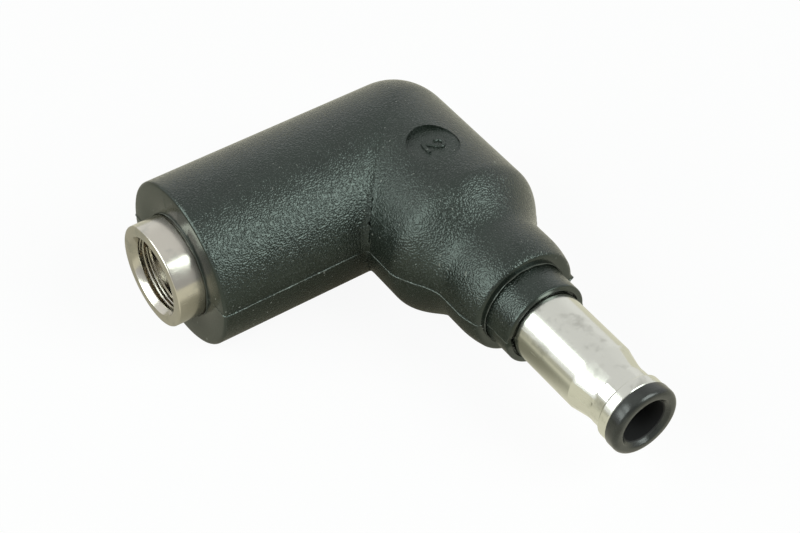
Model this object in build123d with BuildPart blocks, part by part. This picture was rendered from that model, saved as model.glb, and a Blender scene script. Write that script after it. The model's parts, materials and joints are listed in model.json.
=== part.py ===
from build123d import *
import os

os.makedirs("parts", exist_ok=True)

# Right-angle power adapter: a turned socket and a necked barrel plug, one in each leg of a moulded elbow.
# Millimetres. The origin is on the plug's axis, where the barrel leaves its collar.
# The plug points to -Y, the socket opens to -X, and both axes lie level, as the adapter lies on a table.

# Elbow moulding
leg_diameter = 12.7
leg_offset = 0.25
socket_reach = 18.1
elbow_setback = 19.4
corner_radius = 5.3
end_face_break = 0.25
nose_diameter = 9.0
nose_face_diameter = 8.3
nose_rim_break = 0.3
nose_setback = 2.45
nose_offset = 0.1
nose_taper_length = 2.2
shoulder_start = 6.2
shoulder_length = 4.2
shoulder_lead = 0.7
shoulder_shares = (0.0, 0.2, 0.4, 0.6, 0.8, 1.0)

# Round recess for the cavity number, on top of the elbow
recess_diameter = 4.0
recess_depth = 0.4
recess_across = 0.35
recess_ahead = 5.2

# Socket
plug_size = 5.5
entry_clearance = 0.05
sleeve_diameter = 7.8
sleeve_proud = 2.25
sleeve_setback = 8.15
sleeve_rim_break = 0.15
sleeve_flange_diameter = 9.0
sleeve_flange_width = 1.0
sleeve_groove_setback = 3.0
sleeve_groove_width = 1.0
sleeve_groove_depth = 0.4
mouth_diameter = 6.2
mouth_depth = 0.5
thread_length = 1.6
spring_groove_width = 0.65
spring_groove_depth = 0.35
socket_insulator_length = 2.4
socket_pin_diameter = 2.1
socket_pin_recess = 2.4
socket_pin_nose = 0.6
socket_head_clearance = 0.4
socket_head_width = 0.8

# Plug
barrel_length = 11.0
barrel_straight = 6.0
neck_diameter = 4.85
neck_length = 1.1
neck_entry_slope_share = 0.18
flange_diameter = 5.36
flange_width = 0.9
flange_break = 0.15
barrel_bore_diameter = 4.1
shank_diameter = 4.9
shank_length = 3.6
anchor_diameter = 5.9
anchor_width = 1.0
tip_head = 1.1
tip_spigot = 1.4
tip_bore_diameter = 3.45
tip_mouth_break = 0.35
tip_rim_radius = 0.4
collar_diameter = 6.66
collar_relief_diameter = 5.8
collar_relief_depth = 0.35
collar_rim_break = 0.12
collar_groove_setback = 2.85
collar_groove_width = 0.5
collar_groove_depth = 0.35
plug_pin_diameter = 1.0
plug_pin_recess = 2.45
plug_pin_nose = 0.3
plug_bore_floor = 1.0
plug_head_diameter = 3.8
plug_head_width = 1.2

# Contacts, tags and wires inside the moulding
tail_diameter = 1.6
tail_length = 2.1
cup_depth = 1.4
boss_diameter = 2.6
tag_thickness = 0.3
tag_land = 0.5
tongue_width = 1.6
tongue_length = 3.0
spring_wire_diameter = 0.4
spring_gap_degrees = 60
wire_core_diameter = 0.7
wire_cover_diameter = 1.3
wire_bend_radius = 4.0
cover_setback = 0.4
solder_length = 1.2
solder_diameter = 1.5
tag_solder_setback = 0.5
solder_film = 0.06

overrun = 1.0

# Sizes that follow from the ones above
leg_radius = leg_diameter / 2
nose_radius = nose_diameter / 2
sleeve_radius = sleeve_diameter / 2
socket_bore_radius = plug_size / 2 + entry_clearance
spring_groove_radius = socket_bore_radius + spring_groove_depth
barrel_radius = plug_size / 2
barrel_bore_radius = barrel_bore_diameter / 2
anchor_radius = anchor_diameter / 2
collar_radius = collar_diameter / 2
tail_radius = tail_diameter / 2
boss_radius = boss_diameter / 2
tag_radius = socket_bore_radius + tag_land
tongue_underside = tag_radius - tag_thickness
wire_core_radius = wire_core_diameter / 2
solder_radius = solder_diameter / 2

# Stations along the socket's axis, counted from the crossing of the axes towards the mouth
sleeve_front = socket_reach + sleeve_proud
thread_end = sleeve_front - mouth_depth - thread_length
spring_groove_end = thread_end - spring_groove_width
sleeve_rear = sleeve_setback
socket_floor = sleeve_rear + socket_insulator_length
socket_tag_rear = sleeve_rear - tag_thickness
socket_head_rear = socket_tag_rear - socket_head_width
socket_tail_end = socket_head_rear - tail_length

# Stations along the plug's axis, counted from the collar's front face towards the tip
barrel_front = barrel_length - tip_head
flange_rear = barrel_front - flange_width
neck_rear = flange_rear - neck_length
barrel_rear = -(shank_length + anchor_width)
plug_tag_rear = barrel_rear - tag_thickness
plug_head_rear = plug_tag_rear - plug_head_width
plug_tail_end = plug_head_rear - tail_length

# Both section planes read as (station, radius)
plug_section = Plane(origin=(0, 0, 0), x_dir=(0, -1, 0), z_dir=(0, 0, 1))
plug_axis = Axis((0, 0, 0), (0, -1, 0))
socket_section = Plane(origin=(0, elbow_setback, 0), x_dir=(-1, 0, 0), z_dir=(0, 0, 1))
socket_axis = Axis((0, elbow_setback, 0), (-1, 0, 0))


def plug_plane(station):
    """Plane across the plug's axis, facing the tip, with its own X along the row's X."""
    return Plane(origin=(0, -station, 0), x_dir=(1, 0, 0), z_dir=(0, -1, 0))


def socket_plane(station):
    """Plane across the socket's axis, facing the mouth, with its own Y up."""
    return Plane(origin=(-station, elbow_setback, 0), x_dir=(0, -1, 0), z_dir=(-1, 0, 0))


# Turned brass sleeve of the socket, bored right through, with a gripping flange and groove in the moulding
groove_front = socket_reach - sleeve_groove_setback
groove_rear = groove_front - sleeve_groove_width
groove_floor = sleeve_radius - sleeve_groove_depth
sleeve_flange_radius = sleeve_flange_diameter / 2
sleeve_flange_front = sleeve_rear + sleeve_flange_width
with BuildPart() as sleeve_blank:
    with BuildSketch(socket_section):
        with BuildLine():
            Polyline(
                (sleeve_rear, 0),
                (sleeve_rear, sleeve_flange_radius),
                (sleeve_flange_front, sleeve_flange_radius),
                (sleeve_flange_front, sleeve_radius),
                (groove_rear, sleeve_radius),
                (groove_rear, groove_floor),
                (groove_front, groove_floor),
                (groove_front, sleeve_radius),
                (sleeve_front, sleeve_radius),
                (sleeve_front, 0),
                close=True,
            )
        make_face()
    revolve(axis=socket_axis)
    front_rim = sleeve_blank.faces().sort_by(Axis.X)[0].edges()
    fillet(front_rim, radius=sleeve_rim_break)

with BuildPart() as socket_sleeve:
    add(sleeve_blank.part)
    with BuildSketch(socket_section):
        with BuildLine():
            Polyline(
                (sleeve_rear - overrun, 0),
                (sleeve_rear - overrun, socket_bore_radius),
                (spring_groove_end, socket_bore_radius),
                (spring_groove_end, spring_groove_radius),
                (thread_end, spring_groove_radius),
                (thread_end, socket_bore_radius),
                (sleeve_front - mouth_depth, socket_bore_radius),
                (sleeve_front, mouth_diameter / 2),
                (sleeve_front + overrun, mouth_diameter / 2),
                (sleeve_front + overrun, 0),
                close=True,
            )
        make_face()
    revolve(axis=socket_axis, mode=Mode.SUBTRACT)
socket_sleeve.part.label = "socket_sleeve"

# Open ring of spring wire in the sleeve's groove, which grips the incoming plug
spring_wire_radius = spring_wire_diameter / 2
spring_ring_radius = spring_groove_radius - spring_wire_radius
spring_station = (thread_end + spring_groove_end) / 2
with BuildPart() as socket_contact_spring:
    with BuildSketch(socket_section):
        with Locations((spring_station, spring_ring_radius)):
            Circle(spring_wire_radius)
    revolve(axis=socket_axis, revolution_arc=360 - spring_gap_degrees)
socket_contact_spring.part.label = "socket_contact_spring"

# Centre pin of the socket: domed nose, stepped shank through the insulator, and a solder cup in its tail
socket_pin_radius = socket_pin_diameter / 2
socket_pin_tip = sleeve_front - socket_pin_recess
with BuildPart() as socket_pin:
    with BuildSketch(socket_plane(socket_floor)):
        Circle(socket_pin_radius)
    extrude(amount=socket_pin_tip - socket_floor)
    pin_tip_edge = socket_pin.faces().sort_by(Axis.X)[0].edges()
    fillet(pin_tip_edge, radius=socket_pin_nose)
    with BuildSketch(socket_plane(socket_tail_end)):
        Circle(tail_radius)
    extrude(amount=socket_floor - socket_tail_end)
    with BuildSketch(socket_plane(socket_tail_end)):
        Circle(wire_core_radius)
    extrude(amount=cup_depth, mode=Mode.SUBTRACT)
socket_pin.part.label = "socket_pin"

# Insulating bush that holds the pin in the sleeve; its boss passes the tag and is staked over behind it
socket_head_radius = tongue_underside - socket_head_clearance
with BuildPart() as socket_insulator:
    with BuildSketch(socket_section):
        with BuildLine():
            Polyline(
                (socket_floor, tail_radius),
                (socket_floor, socket_bore_radius),
                (sleeve_rear, socket_bore_radius),
                (sleeve_rear, boss_radius),
                (socket_tag_rear, boss_radius),
                (socket_tag_rear, socket_head_radius),
                (socket_head_rear, socket_head_radius),
                (socket_head_rear, tail_radius),
                close=True,
            )
        make_face()
    revolve(axis=socket_axis)
socket_insulator.part.label = "socket_insulator"


def solder_tag(plane_at, tag_rear):
    """Pressed ring around an insulator's boss, with one tongue bent back over the pin's tail."""
    with BuildPart() as tag:
        with BuildSketch(plane_at(tag_rear)):
            Circle(tag_radius)
            Circle(boss_radius, mode=Mode.SUBTRACT)
        extrude(amount=tag_thickness)
        with BuildSketch(plane_at(tag_rear - tongue_length)):
            with Locations((0, tongue_underside)):
                Rectangle(tongue_width, tag_thickness, align=(Align.CENTER, Align.MIN))
        extrude(amount=tongue_length + tag_thickness)
    return tag.part


socket_tag = solder_tag(socket_plane, socket_tag_rear)
socket_tag.label = "socket_tag"

# Nickel-plated barrel: straight length, drawn-in neck and end flange; its shank and anchor sit in the collar
shank_radius = shank_diameter / 2
neck_radius = neck_diameter / 2
flange_radius = flange_diameter / 2
with BuildPart() as plug_barrel:
    with BuildSketch(plug_section):
        with BuildLine():
            Polyline(
                (barrel_rear, barrel_bore_radius),
                (barrel_rear, anchor_radius),
                (-shank_length, anchor_radius),
                (-shank_length, shank_radius),
                (0, shank_radius),
                (0, barrel_radius),
                (barrel_straight, barrel_radius),
            )
            Spline(
                (barrel_straight, barrel_radius),
                (neck_rear, neck_radius),
                tangents=((1, -neck_entry_slope_share), (1, 0)),
            )
            Polyline(
                (neck_rear, neck_radius),
                (flange_rear, neck_radius),
                (flange_rear, flange_radius),
                (barrel_front, flange_radius),
                (barrel_front, barrel_bore_radius),
                (barrel_rear, barrel_bore_radius),
            )
        make_face()
    revolve(axis=plug_axis)
    flange_wall = plug_barrel.faces().filter_by(GeomType.CYLINDER).sort_by(Axis.Y)[0]
    fillet(flange_wall.edges().filter_by(GeomType.CIRCLE), radius=flange_break)
plug_barrel.part.label = "plug_barrel"

# Black tip insulator: a rounded head on the barrel's end and a spigot pressed into its bore
tip_bore_radius = tip_bore_diameter / 2
tip_mouth_radius = tip_bore_radius + tip_mouth_break
with BuildPart() as plug_tip_insulator:
    with BuildSketch(plug_plane(barrel_front)):
        Circle(barrel_radius)
    extrude(amount=tip_head)
    tip_rim = plug_tip_insulator.faces().sort_by(Axis.Y)[0].edges()
    fillet(tip_rim, radius=tip_rim_radius)
    with BuildSketch(plug_plane(barrel_front - tip_spigot)):
        Circle(barrel_bore_radius)
    extrude(amount=tip_spigot)
    with BuildSketch(plug_plane(barrel_front - tip_spigot)):
        Circle(tip_bore_radius)
    extrude(amount=tip_spigot + tip_head, mode=Mode.SUBTRACT)
    bore_rim = plug_tip_insulator.faces().sort_by(Axis.Y)[0].edges().sort_by(SortBy.LENGTH)[0]
    chamfer(bore_rim, length=tip_mouth_break)
plug_tip_insulator.part.label = "plug_tip_insulator"

# Moulded collar around the barrel's shank; the elbow's moulding grips its outer groove
collar_groove_rear = collar_groove_setback + collar_groove_width
collar_groove_floor = collar_radius - collar_groove_depth
with BuildPart() as collar_blank:
    with BuildSketch(plug_section):
        with BuildLine():
            Polyline(
                (0, 0),
                (0, collar_radius),
                (-collar_groove_setback, collar_radius),
                (-collar_groove_setback, collar_groove_floor),
                (-collar_groove_rear, collar_groove_floor),
                (-collar_groove_rear, collar_radius),
                (barrel_rear, collar_radius),
                (barrel_rear, 0),
                close=True,
            )
        make_face()
    revolve(axis=plug_axis)
    collar_rim = collar_blank.faces().sort_by(Axis.Y)[0].edges()
    fillet(collar_rim, radius=collar_rim_break)

collar_relief_radius = collar_relief_diameter / 2
with BuildPart() as plug_collar:
    add(collar_blank.part)
    with BuildSketch(plug_section):
        with BuildLine():
            Polyline(
                (overrun, 0),
                (overrun, collar_relief_radius),
                (-collar_relief_depth, collar_relief_radius),
                (-collar_relief_depth, shank_radius),
                (-shank_length, shank_radius),
                (-shank_length, anchor_radius),
                (barrel_rear - overrun, anchor_radius),
                (barrel_rear - overrun, 0),
                close=True,
            )
        make_face()
    revolve(axis=plug_axis, mode=Mode.SUBTRACT)
plug_collar.part.label = "plug_collar"

# Centre pin of the plug: free end in the barrel, stepped shank through the insulator, solder cup in its tail
plug_pin_radius = plug_pin_diameter / 2
plug_pin_tip = barrel_length - plug_pin_recess
with BuildPart() as plug_pin:
    with BuildSketch(plug_plane(plug_bore_floor)):
        Circle(plug_pin_radius)
    extrude(amount=plug_pin_tip - plug_bore_floor)
    plug_tip_edge = plug_pin.faces().sort_by(Axis.Y)[0].edges()
    fillet(plug_tip_edge, radius=plug_pin_nose)
    with BuildSketch(plug_plane(plug_tail_end)):
        Circle(tail_radius)
    extrude(amount=plug_bore_floor - plug_tail_end)
    with BuildSketch(plug_plane(plug_tail_end)):
        Circle(wire_core_radius)
    extrude(amount=cup_depth, mode=Mode.SUBTRACT)
plug_pin.part.label = "plug_pin"

# Insulating bush that centres the pin in the barrel; its boss passes the tag and is staked over behind it
with BuildPart() as plug_insulator:
    with BuildSketch(plug_section):
        with BuildLine():
            Polyline(
                (plug_bore_floor, tail_radius),
                (plug_bore_floor, barrel_bore_radius),
                (barrel_rear, barrel_bore_radius),
                (barrel_rear, boss_radius),
                (plug_tag_rear, boss_radius),
                (plug_tag_rear, plug_head_diameter / 2),
                (plug_head_rear, plug_head_diameter / 2),
                (plug_head_rear, tail_radius),
                close=True,
            )
        make_face()
    revolve(axis=plug_axis)
plug_insulator.part.label = "plug_insulator"

# The barrel's tag is the same pressing as the socket's
plug_tag = solder_tag(plug_plane, plug_tag_rear)
plug_tag.label = "plug_tag"

# Two wires cross the elbow, level and bent once: the live one on the axes, the return one under the tongues
return_height = tongue_underside - solder_film - wire_core_radius
cover_radius = wire_cover_diameter / 2
socket_tongue_end = socket_tag_rear - tongue_length
plug_tongue_end = plug_tag_rear - tongue_length


def bent_wire(height, socket_station, plug_station, outer_radius, inner_radius=0):
    """Round wire or wire cover, level at a height, from a station along the socket to one along the plug."""
    start = (-socket_station, elbow_setback, height)
    with BuildPart() as wire:
        with BuildLine():
            FilletPolyline(
                start,
                (0, elbow_setback, height),
                (0, -plug_station, height),
                radius=wire_bend_radius,
            )
        with BuildSketch(Plane(origin=start, z_dir=(1, 0, 0))):
            Circle(outer_radius)
            if inner_radius:
                Circle(inner_radius, mode=Mode.SUBTRACT)
        sweep()
    return wire.part


live_core = bent_wire(0, socket_tail_end + cup_depth, plug_tail_end + cup_depth, wire_core_radius)
live_core.label = "live_wire_core"
live_cover = bent_wire(
    0,
    socket_tail_end - cover_setback,
    plug_tail_end - cover_setback,
    cover_radius,
    wire_core_radius,
)
live_cover.label = "live_wire_cover"
return_core = bent_wire(
    return_height,
    socket_head_rear - tag_solder_setback,
    plug_head_rear - tag_solder_setback,
    wire_core_radius,
)
return_core.label = "return_wire_core"
return_cover = bent_wire(
    return_height,
    socket_tongue_end - cover_setback,
    plug_tongue_end - cover_setback,
    cover_radius,
    wire_core_radius,
)
return_cover.label = "return_wire_cover"


def cup_solder(section, axis, tail_end):
    """Cone of solder from the rim of a pin's cup down to the wire."""
    with BuildPart() as bead:
        with BuildSketch(section):
            with BuildLine():
                Polyline(
                    (tail_end, wire_core_radius),
                    (tail_end, tail_radius),
                    (tail_end - cover_setback, wire_core_radius),
                    close=True,
                )
            make_face()
        revolve(axis=axis)
    return bead.part


def tag_solder(section, axis_origin, axis_direction, head_rear):
    """Bead of solder that wraps the return wire under a tag's tongue."""
    bead_front = head_rear - tag_solder_setback
    with BuildPart() as bead:
        with BuildSketch(section.offset(return_height)):
            with BuildLine():
                ThreePointArc(
                    (bead_front, wire_core_radius),
                    (bead_front - solder_length / 2, solder_radius),
                    (bead_front - solder_length, wire_core_radius),
                )
                Line((bead_front - solder_length, wire_core_radius), (bead_front, wire_core_radius))
            make_face()
        revolve(axis=Axis((*axis_origin, return_height), axis_direction))
        split(bisect_by=Plane.XY.offset(tongue_underside), keep=Keep.BOTTOM)
    return bead.part


socket_pin_solder = cup_solder(socket_section, socket_axis, socket_tail_end)
socket_pin_solder.label = "socket_pin_solder"
plug_pin_solder = cup_solder(plug_section, plug_axis, plug_tail_end)
plug_pin_solder.label = "plug_pin_solder"
socket_tag_solder = tag_solder(socket_section, (0, elbow_setback), (-1, 0, 0), socket_head_rear)
socket_tag_solder.label = "socket_tag_solder"
plug_tag_solder = tag_solder(plug_section, (0, 0), (0, -1, 0), plug_head_rear)
plug_tag_solder.label = "plug_tag_solder"

inner_pieces = (
    socket_insulator.part,
    socket_tag,
    socket_pin.part,
    plug_insulator.part,
    plug_tag,
    plug_pin.part,
    live_core,
    live_cover,
    return_core,
    return_cover,
    socket_pin_solder,
    plug_pin_solder,
    socket_tag_solder,
    plug_tag_solder,
)

# Elbow moulding: two round legs that meet in a crease on the inside and a rounded corner on the outside
corner_inset = leg_radius - corner_radius
corner_x = leg_offset + corner_inset
corner_y = elbow_setback + corner_inset
shoulder_end = shoulder_start + shoulder_length
shoulder_rear = shoulder_end + shoulder_lead
shoulder_front = shoulder_start - shoulder_lead
nose_section = Plane(origin=(nose_offset, 0, 0), x_dir=(0, -1, 0), z_dir=(0, 0, 1))
nose_axis = Axis((nose_offset, 0, 0), (0, -1, 0))
nose_face_radius = nose_face_diameter / 2
taper_start = nose_setback + nose_taper_length
with BuildPart() as elbow_housing:
    # Socket leg, from the corner's centre line to the end face
    with BuildSketch(socket_plane(-corner_x)):
        Circle(leg_radius)
    extrude(amount=corner_x + socket_reach)
    # Plug leg, from the corner's centre line to the shoulder
    with BuildSketch(plug_plane(-corner_y)):
        with Locations((leg_offset, 0)):
            Circle(leg_radius)
    extrude(amount=corner_y - shoulder_rear)
    # Outer corner: the outer side of the leg's section, turned through a right angle
    with BuildSketch(socket_plane(-corner_x)):
        Circle(leg_radius)
        with Locations((-corner_inset, 0)):
            Rectangle(leg_diameter, leg_diameter, align=(Align.MAX, Align.CENTER), mode=Mode.INTERSECT)
    revolve(axis=Axis((corner_x, corner_y, 0), (0, 0, -1)), revolution_arc=90)
    # Shoulder: the leg draws in along an S to the nose and slides over towards the plug's axis
    with BuildSketch(plug_plane(-shoulder_rear)):
        with Locations((leg_offset, 0)):
            Circle(leg_radius)
    for share in reversed(shoulder_shares):
        blend = share**2 * (3 - 2 * share)
        with BuildSketch(plug_plane(-(shoulder_start + share * shoulder_length))):
            with Locations((nose_offset + (leg_offset - nose_offset) * blend, 0)):
                Circle(nose_radius + (leg_radius - nose_radius) * blend)
    with BuildSketch(plug_plane(-shoulder_front)):
        with Locations((nose_offset, 0)):
            Circle(nose_radius)
    loft()
    # Nose, drawn in a little towards its face
    with BuildSketch(nose_section):
        with BuildLine():
            Polyline(
                (-nose_setback, 0),
                (-shoulder_front, 0),
                (-shoulder_front, nose_radius),
                (-taper_start, nose_radius),
            )
            TangentArc((-taper_start, nose_radius), (-nose_setback, nose_face_radius), tangent=(1, 0))
            Line((-nose_setback, nose_face_radius), (-nose_setback, 0))
        make_face()
    revolve(axis=nose_axis)
    fillet(elbow_housing.faces().sort_by(Axis.Y)[0].edges(), radius=nose_rim_break)
    fillet(elbow_housing.faces().sort_by(Axis.X)[0].edges(), radius=end_face_break)
    # Round recess for the cavity number
    with BuildSketch(Plane.XY.offset(leg_radius - recess_depth)):
        with Locations((recess_across, elbow_setback - recess_ahead)):
            Circle(recess_diameter / 2)
    extrude(amount=recess_depth + overrun, mode=Mode.SUBTRACT)
    # The moulding closes round everything it holds
    add(sleeve_blank.part, mode=Mode.SUBTRACT)
    add(collar_blank.part, mode=Mode.SUBTRACT)
    for piece in inner_pieces:
        add(piece, mode=Mode.SUBTRACT)
elbow_housing.part.label = "elbow_housing"

finished = (
    elbow_housing.part,
    socket_sleeve.part,
    socket_contact_spring.part,
    plug_barrel.part,
    plug_tip_insulator.part,
    plug_collar.part,
    *inner_pieces,
)
for piece in finished:
    export_step(piece, f"parts/{piece.label}.step")
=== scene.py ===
"""Looks of a right-angle power adapter: a turned socket and a necked barrel plug in one moulded elbow."""

import json
import logging
import math
from dataclasses import dataclass
from enum import Enum
from typing import Callable, Iterable

import bmesh
import bpy
from mathutils import Matrix, Vector, noise

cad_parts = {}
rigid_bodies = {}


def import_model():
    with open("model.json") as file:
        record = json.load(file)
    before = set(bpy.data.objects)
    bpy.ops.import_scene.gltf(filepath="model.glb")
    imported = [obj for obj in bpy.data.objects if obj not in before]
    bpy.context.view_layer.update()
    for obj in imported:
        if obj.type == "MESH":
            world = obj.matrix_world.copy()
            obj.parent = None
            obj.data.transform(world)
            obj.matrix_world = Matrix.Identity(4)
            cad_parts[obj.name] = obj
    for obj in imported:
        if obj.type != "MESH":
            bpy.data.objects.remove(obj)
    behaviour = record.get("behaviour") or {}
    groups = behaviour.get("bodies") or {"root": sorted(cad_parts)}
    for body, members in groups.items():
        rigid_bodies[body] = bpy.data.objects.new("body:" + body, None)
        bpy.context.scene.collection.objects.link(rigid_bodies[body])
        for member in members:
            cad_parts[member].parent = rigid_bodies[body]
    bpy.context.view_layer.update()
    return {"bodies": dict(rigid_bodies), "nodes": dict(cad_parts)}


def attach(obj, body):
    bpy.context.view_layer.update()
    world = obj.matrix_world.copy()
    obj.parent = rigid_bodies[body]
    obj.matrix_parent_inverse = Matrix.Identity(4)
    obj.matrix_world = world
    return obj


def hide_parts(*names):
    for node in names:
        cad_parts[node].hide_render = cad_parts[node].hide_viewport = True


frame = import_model()

LOG = logging.getLogger("adapter")

# Sizes of meshes are in millimetres, and finish_mesh brings them to metres.
MM = 0.001
SAME_PLACE = 1e-4
NEARBY = 1e-3
SHARP_ANGLE = math.radians(32)
SOCKET_AXIS_Y = 19.4

# A span holds the value at which something starts and the one at which it ends or is full.
Number = float | int
Point = tuple[float, float]
Span = tuple[float, float]
Triple = tuple[float, float, float]
Colour = Triple


class Value:
    """A number in a shader graph. Arithmetic on it adds Math nodes to the graph it belongs to."""

    def __init__(self, graph: "Graph", socket: bpy.types.NodeSocket) -> None:
        """Keeps the graph and the output socket that carries the number."""
        self.graph = graph
        self.socket = socket

    def _math(self, operation: str, first: "Value | Number", second: "Value | Number") -> "Value":
        """Adds one Math node of two operands and returns its result."""
        return self.graph.node("ShaderNodeMath", {"operation": operation}, {0: first, 1: second})

    def __add__(self, other: "Value | Number") -> "Value":
        """This value plus another."""
        return self._math("ADD", self, other)

    def __sub__(self, other: "Value | Number") -> "Value":
        """This value less another."""
        return self._math("SUBTRACT", self, other)

    def __rsub__(self, other: "Value | Number") -> "Value":
        """Another value less this one."""
        return self._math("SUBTRACT", other, self)

    def __mul__(self, other: "Value | Number") -> "Value":
        """This value times another."""
        return self._math("MULTIPLY", self, other)

    __radd__ = __add__
    __rmul__ = __mul__

    def above(self, low: float, high: float) -> "Value":
        """Share from 0 to 1 of the way from low to high, eased at both ends.

        Args:
            low: Value at which the share leaves 0.
            high: Value at which the share reaches 1.

        Returns:
            The eased share.
        """
        settings = {"interpolation_type": "SMOOTHSTEP", "clamp": True}
        return self.graph.node("ShaderNodeMapRange", settings, {0: self, 1: low, 2: high, 3: 0.0, 4: 1.0})


class Graph:
    """A node tree under construction, with one method that makes any node."""

    def __init__(self, tree: bpy.types.NodeTree) -> None:
        """Starts from an emptied node tree."""
        self.tree = tree
        tree.nodes.clear()

    def node(
        self,
        kind: str,
        settings: dict[str, object] | None = None,
        inputs: dict[int | str, object] | None = None,
        output: int | str = 0,
    ) -> Value:
        """Makes a node, sets it up and wires it.

        Args:
            kind: The node's type.
            settings: Its properties.
            inputs: What each input socket gets, a plain value or another node's output.
            output: The output socket to hand back.

        Returns:
            The chosen output.
        """
        made = self.tree.nodes.new(kind)
        for key, value in (settings or {}).items():
            setattr(made, key, value)
        for key, value in (inputs or {}).items():
            socket = made.inputs[key]
            if isinstance(value, Value):
                self.tree.links.new(value.socket, socket)
            elif isinstance(value, tuple) and len(value) == 3 and socket.type == "RGBA":
                socket.default_value = (*value, 1.0)
            else:
                socket.default_value = value
        return Value(self, made.outputs[output])

    def place(self, stretch: Triple = (1.0, 1.0, 1.0), turn: Triple = (0.0, 0.0, 0.0)) -> Value:
        """Object coordinates, stretched and turned for a pattern.

        Args:
            stretch: Scale along the three axes.
            turn: Rotation about the three axes.

        Returns:
            The mapped coordinates.
        """
        spot = self.node("ShaderNodeTexCoord", output="Object")
        return self.node("ShaderNodeMapping", inputs={"Vector": spot, "Rotation": turn, "Scale": stretch})

    def axes(self, where: Value, letters: str = "XYZ") -> list[Value]:
        """The numbers that a vector has along some axes, in the order of their letters."""
        return [self.node("ShaderNodeSeparateXYZ", inputs={0: where}, output=letter) for letter in letters]

    def speckle(self, where: Value, size: float, detail: float, roughness: float = 0.5) -> Value:
        """Soft random pattern between 0 and 1.

        Args:
            where: Coordinates to read.
            size: Length of one feature, in the unit of the coordinates.
            detail: Octaves of finer pattern.
            roughness: How strong the finer octaves are.

        Returns:
            The pattern.
        """
        inputs = {"Vector": where, "Scale": 1.0 / size, "Detail": detail, "Roughness": roughness}
        return self.node("ShaderNodeTexNoise", {"noise_dimensions": "3D"}, inputs, "Fac")

    def blend(self, share: Value, first: object, second: object) -> Value:
        """Colour that goes from first to second with the share.

        Args:
            share: Where 0 is first and 1 is second.
            first: A colour or a colour output.
            second: A colour or a colour output.

        Returns:
            The mixed colour.
        """
        return self.node("ShaderNodeMix", {"data_type": "RGBA"}, {0: share, 6: first, 7: second}, 2)

    def bump(self, height: Value, depth: float, strength: float = 1.0, base: Value | None = None) -> Value:
        """Normal bent by a height pattern.

        Args:
            height: The pattern, in shares of the depth.
            depth: Height of the pattern in metres.
            strength: How much of it shows.
            base: A normal that this one adds to.

        Returns:
            The bent normal.
        """
        inputs: dict[int | str, object] = {"Height": height, "Distance": depth, "Strength": strength}
        if base is not None:
            inputs["Normal"] = base
        return self.node("ShaderNodeBump", inputs=inputs, output="Normal")

    def surface(self, inputs: dict[int | str, object]) -> None:
        """Adds the principled shader and the output, with the given sockets set."""
        shader = self.node("ShaderNodeBsdfPrincipled", inputs=inputs, output="BSDF")
        self.finish("ShaderNodeOutputMaterial", shader)

    def finish(self, kind: str, shader: Value) -> None:
        """Adds an output node of a kind and wires the shader to its surface."""
        made = self.tree.nodes.new(kind)
        self.tree.links.new(shader.socket, made.inputs["Surface"])


def new_material(name: str) -> tuple[bpy.types.Material, Graph]:
    """A fresh material and the graph that fills it."""
    material = bpy.data.materials.new(name)
    material.use_nodes = True
    return material, Graph(material.node_tree)


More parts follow.
